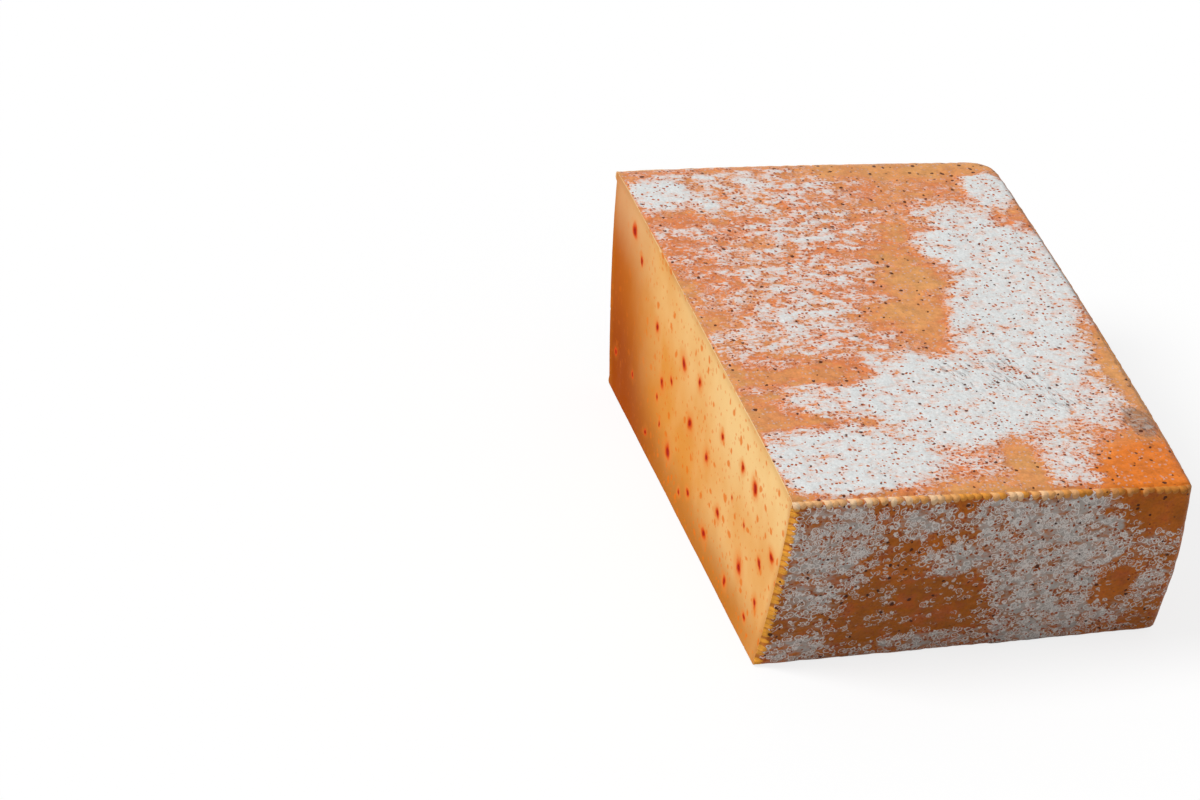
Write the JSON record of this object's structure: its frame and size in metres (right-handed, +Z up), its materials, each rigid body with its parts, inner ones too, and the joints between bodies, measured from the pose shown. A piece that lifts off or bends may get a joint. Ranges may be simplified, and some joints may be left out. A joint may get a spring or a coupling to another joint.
{
  "type": "raclette cheese",
  "caption": "Half of a pressed raclette cheese block, lying flat, with a washed, mould-bloomed rind and a smooth speckled cut side.",
  "frame": {"origin": "middle of the footprint on the underside, where the cheese rests", "axes": "+Z up, +Y from the front rind end to the back rind end along the cut, +X from the cut side to the outer rind side"},
  "size_m": [0.1456, 0.2238, 0.0778],
  "materials": {
    "rind": "washed cheese rind, orange brown under a patchy pale grey mould bloom, dull with a slight waxy sheen",
    "paste": "smooth cut cheese paste, creamy yellow to orange with dark orange red specks, moist and slightly translucent"
  },
  "bodies": {
    "root": {"cheese_half": "rind"}
  },
  "joints": []
}
